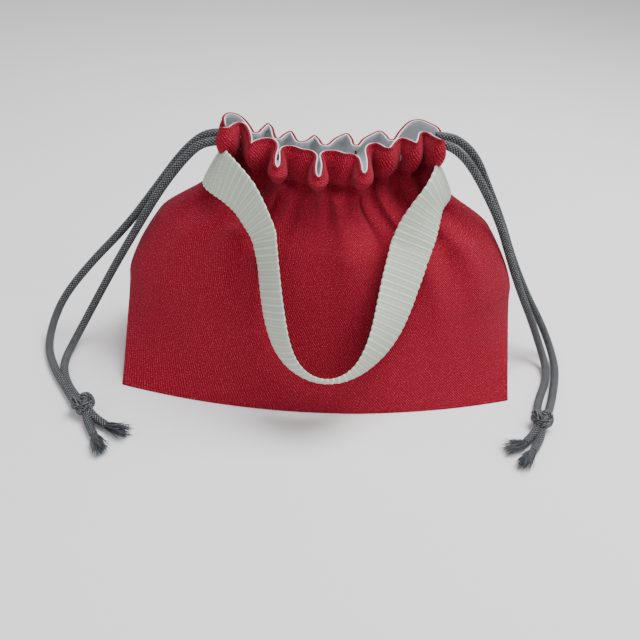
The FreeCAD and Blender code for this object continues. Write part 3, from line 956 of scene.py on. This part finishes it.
def cloth_axes(tree):
    """The cloth coordinates in millimetres: across and up."""
    place = add_node(tree, "ShaderNodeUVMap", uv_map="cloth")
    split = add_node(tree, "ShaderNodeSeparateXYZ")
    tree.links.new(place.outputs["UV"], split.inputs[0])
    across = sums(tree, "MULTIPLY", split.outputs[0], 1000.0)
    up = sums(tree, "MULTIPLY", split.outputs[1], 1000.0)
    return place.outputs["UV"], across, up


def wave(tree, value, pitch):
    """Half waves, from 0 to 1, that repeat with the pitch."""
    turned = sums(tree, "MULTIPLY", value, math.pi / pitch)
    return sums(tree, "ABSOLUTE", sums(tree, "SINE", turned, 0.0), 0.0)


# %% Twill
def twill(name, shade, base, rich, light):
    """Slanting ribs 1.3 mm apart, cut into floats, with flecks of lighter yarn and slow uneven dye."""
    finish, tree, shader = new_finish(name, 0.88, 0.10, 0.10, 0.4)
    uv, across, up = cloth_axes(tree)
    body = add_node(tree, "ShaderNodeTexCoord").outputs["Object"]
    slant = sums(tree, "ADD", sums(tree, "MULTIPLY", across, 0.82), sums(tree, "MULTIPLY", up, 0.57))
    yarn = sums(tree, "SUBTRACT", sums(tree, "MULTIPLY", up, 0.82), sums(tree, "MULTIPLY", across, 0.57))
    uneven = noise(tree, uv, 260.0, 2.0)
    slant = sums(tree, "ADD", slant, sums(tree, "MULTIPLY", uneven, 0.9))
    ribs = wave(tree, slant, 1.30)
    floats = wave(tree, sums(tree, "ADD", yarn, sums(tree, "MULTIPLY", slant, 0.5)), 0.95)
    weave = sums(tree, "MULTIPLY", ribs, sums(tree, "ADD", sums(tree, "MULTIPLY", floats, 0.55), 0.45))
    fleck = noise(tree, uv, 1500.0, 2.0)
    fleck = sums(tree, "MULTIPLY", sums(tree, "MAXIMUM", sums(tree, "SUBTRACT", fleck, 0.50), 0.0), 3.6)
    slow = noise(tree, body, 22.0, 4.0)
    dyed = mixed(tree, slow, base, rich)
    woven = mixed(tree, sums(tree, "ADD", sums(tree, "MULTIPLY", weave, 0.85), 0.12), shade, dyed)
    flecked = mixed(tree, sums(tree, "MULTIPLY", fleck, weave), woven, light)
    tree.links.new(flecked, shader.inputs["Base Color"])
    shader.inputs["Sheen Tint"].default_value = (0.95, 0.45, 0.55, 1)
    deep = bumped(tree, shader, weave, 0.00035, 0.9)
    bumped(tree, shader, noise(tree, body, 130.0, 4.0), 0.0009, 0.35, under=deep)
    return finish


crimson_twill = twill("crimson_twill", (0.115, 0.0010, 0.0040), (0.30, 0.0050, 0.0170),
                      (0.40, 0.0085, 0.0300), (0.78, 0.12, 0.22))


# %% Lining, webbing, braid, fibres and board
def plain_weave(name, shade, light):
    """Fine plain weave: yarns 0.5 mm apart both ways, over slow noise that paints crease shade."""
    finish, tree, shader = new_finish(name, 0.8, 0.2, 0.15, 0.5)
    uv, across, up = cloth_axes(tree)
    body = add_node(tree, "ShaderNodeTexCoord").outputs["Object"]
    weave = sums(tree, "MULTIPLY", wave(tree, across, 0.5), wave(tree, up, 0.5))
    # Painted shade: slow noise on Object coordinates darkens the colour as if in creases.
    painted_crease_shade = sums(tree, "MULTIPLY", noise(tree, body, 60.0, 3.0), 0.6)
    share = sums(tree, "ADD", painted_crease_shade, sums(tree, "MULTIPLY", weave, 0.5))
    tree.links.new(mixed(tree, share, shade, light), shader.inputs["Base Color"])
    deep = bumped(tree, shader, weave, 0.00012, 0.8)
    bumped(tree, shader, noise(tree, body, 160.0, 3.0), 0.0007, 0.5, under=deep)
    return finish


def ribbed_webbing(name, shade, base, light):
    """Painted shade darkens the valleys of the strip's relief; fine lengthwise yarns vary the ribs, and bands
    of painted highlight, broken up by noise, lighten the rib crowns.
    """
    finish, tree, shader = new_finish(name, 0.55, 0.4, 0.18, 0.35)
    uv, across, up = cloth_axes(tree)
    body = add_node(tree, "ShaderNodeTexCoord").outputs["Object"]
    relief = add_node(tree, "ShaderNodeAttribute", attribute_name="relief").outputs["Fac"]
    yarns = wave(tree, sums(tree, "ADD", across, 0.3), 0.6)
    ribs = sums(tree, "MULTIPLY", relief, sums(tree, "ADD", sums(tree, "MULTIPLY", yarns, 0.25), 0.75))
    # Painted highlight: bands 3.4 mm apart, broken up by noise, lighten the rib crowns towards the light
    # colour.
    band = wave(tree, up, 3.4)
    # Painted shade: the colour goes from the dark colour in the valleys of the relief to the base colour on
    # the ribs.
    colour = mixed(tree, ribs, shade, base)
    painted_highlight = sums(tree, "MULTIPLY", sums(tree, "MULTIPLY", band, noise(tree, body, 90.0, 3.0)), 0.8)
    colour = mixed(tree, sums(tree, "MULTIPLY", painted_highlight, ribs), colour, light)
    tree.links.new(colour, shader.inputs["Base Color"])
    bumped(tree, shader, ribs, 0.00025, 0.8)
    return finish


def braid_finish(name, shade, base, light):
    """Dark polyester braid: painted shade darkens the gaps of the relief, a fine twist along each strand is
    lighter, and painted highlights, broken up by noise, lighten the strands' crowns.
    """
    finish, tree, shader = new_finish(name, 0.5, 0.3, 0.06, 0.3)
    uv, around, along = cloth_axes(tree)
    body = add_node(tree, "ShaderNodeTexCoord").outputs["Object"]
    relief = add_node(tree, "ShaderNodeAttribute", attribute_name="relief").outputs["Fac"]
    twist = wave(tree, sums(tree, "ADD", along, sums(tree, "MULTIPLY", around, 0.6)), 0.42)
    share = sums(tree, "MULTIPLY", relief, sums(tree, "ADD", sums(tree, "MULTIPLY", twist, 0.4), 0.6))
    # Painted shade: the colour goes dark in the gaps between the strands.
    colour = mixed(tree, sums(tree, "MULTIPLY", share, relief), shade, base)
    # Painted highlight: the strands' crowns are lightened towards the light colour, broken up by noise.
    crown = sums(tree, "MULTIPLY", sums(tree, "MAXIMUM", sums(tree, "SUBTRACT", relief, 0.55), 0.0), 2.2)
    painted_highlight = sums(tree, "MULTIPLY", crown, noise(tree, body, 500.0, 2.0))
    colour = mixed(tree, painted_highlight, colour, light)
    tree.links.new(colour, shader.inputs["Base Color"])
    bumped(tree, shader, share, 0.00030, 0.9)
    return finish


def fibre_finish(name, shade, light):
    """Loose fibres: each has its own grey, by its number in the cloth coordinates."""
    finish, tree, shader = new_finish(name, 0.35, 0.5, 0.2, 0.3)
    uv, fibre, along = cloth_axes(tree)
    pick = add_node(tree, "ShaderNodeTexWhiteNoise", noise_dimensions="1D")
    tree.links.new(sums(tree, "ROUND", fibre, 0.0), pick.inputs["W"])
    towards_tip = sums(tree, "ADD", sums(tree, "MULTIPLY", along, 0.05), 0.4)
    share = sums(tree, "MULTIPLY", pick.outputs["Value"], towards_tip)
    tree.links.new(mixed(tree, share, shade, light), shader.inputs["Base Color"])
    return finish


def board_finish(name, shade, base):
    """Grey pressed board with short specks."""
    finish, tree, shader = new_finish(name, 0.9, 0.2)
    body = add_node(tree, "ShaderNodeTexCoord").outputs["Object"]
    speck = noise(tree, body, 900.0, 4.0)
    tree.links.new(mixed(tree, speck, shade, base), shader.inputs["Base Color"])
    bumped(tree, shader, speck, 0.0002, 0.6)
    return finish


# The lining's darker colour shows in the weave's gaps and in the painted crease shade.
pale_lining = plain_weave("pale_lining", (0.60, 0.62, 0.64), (0.86, 0.88, 0.90))
# The webbing's first colour is painted shade for the rib valleys, its last a painted highlight for the
# crowns.
sage_webbing = ribbed_webbing("sage_webbing", (0.40, 0.46, 0.36), (0.66, 0.76, 0.62), (0.86, 0.94, 0.82))
# The braid's first colour is painted shade for the gaps between strands, its last a painted highlight for the
# crowns.
braided_cord = braid_finish("braided_cord", (0.004, 0.005, 0.006), (0.040, 0.044, 0.047), (0.62, 0.65, 0.68))
frayed_fibre = fibre_finish("frayed_fibre", (0.012, 0.014, 0.017), (0.22, 0.24, 0.27))
stiffener_board = board_finish("stiffener_board", (0.30, 0.29, 0.27), (0.48, 0.46, 0.43))

cord_pieces = (*strands.values(), *knots.values(), *tail_pieces.values())
red_pieces = front_halves + back_halves + front_tunnels + back_tunnels + (base_panel,) + tuple(stitch_pieces)
finishes = {
    "crimson_twill": (crimson_twill, red_pieces),
    "pale_lining": (pale_lining, front_linings + back_linings + (base_lining,)),
    "sage_webbing": (sage_webbing, (strap_left, strap_right, strap_loop)),
    "braided_cord": (braided_cord, cord_pieces),
    "frayed_fibre": (frayed_fibre, tuple(tuft_pieces.values())),
}
for slot, (finish, pieces) in finishes.items():
    for piece in pieces:
        piece.data.materials.clear()
        piece.data.materials.append(finish)
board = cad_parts["base_stiffener"]
board.data.materials.clear()
board.data.materials.append(stiffener_board)
print("finishes", list(finishes))

# %% [markdown]
# ## Cloth cut flat
# Each half of a panel is a sheet that was cut flat and then gathered.

# %% [markdown]
# ## Floor and light
# A pale floor, a large soft light overhead and a little behind to the right,
# and a weaker one at each side of the front keep the shadows soft and let
# the weave show.

# %% Floor
floor_mesh = bpy.data.meshes.new("floor")
FLOOR_HALF = 3.0
FLOOR_HEIGHT = -0.0002
floor_signs = ((-1, -1), (1, -1), (1, 1), (-1, 1))
floor_corners = [(FLOOR_HALF * x, FLOOR_HALF * y, FLOOR_HEIGHT) for x, y in floor_signs]
floor_mesh.from_pydata(floor_corners, [], [(0, 1, 2, 3)])
floor = bpy.data.objects.new("floor", floor_mesh)
bpy.context.scene.collection.objects.link(floor)
floor_finish, floor_tree, floor_shader = new_finish("pale_floor", 0.7, 0.2)
floor_place = add_node(floor_tree, "ShaderNodeTexCoord").outputs["Object"]
floor_colour = mixed(floor_tree, noise(floor_tree, floor_place, 6.0), (0.88, 0.87, 0.86), (0.93, 0.92, 0.91))
floor_tree.links.new(floor_colour, floor_shader.inputs["Base Color"])
floor_mesh.materials.append(floor_finish)


# %% Lights
def soft_light(name, place, aim, size, watts):
    """A square area light that looks from its place to its aim."""
    data = bpy.data.lights.new(name, "AREA")
    data.size = size
    data.energy = watts
    lamp = bpy.data.objects.new(name, data)
    lamp.location = place
    lamp.rotation_euler = (Vector(aim) - Vector(place)).to_track_quat("-Z", "Y").to_euler()
    bpy.context.scene.collection.objects.link(lamp)


soft_light("overhead", (0.30, 0.12, 1.05), (0, 0, 0.05), 0.6, 17.0)
soft_light("front_left", (-0.7, -0.9, 0.8), (0, 0, 0.06), 0.7, 2.5)
soft_light("front_right", (0.8, -0.6, 0.6), (0, 0, 0.06), 0.7, 2.0)
world = bpy.data.worlds.new("room")
world.use_nodes = True
world.node_tree.nodes["Background"].inputs["Color"].default_value = (0.86, 0.88, 0.92, 1)
world.node_tree.nodes["Background"].inputs["Strength"].default_value = 0.60
bpy.context.scene.world = world

# %% Update the scene
bpy.context.view_layer.update()
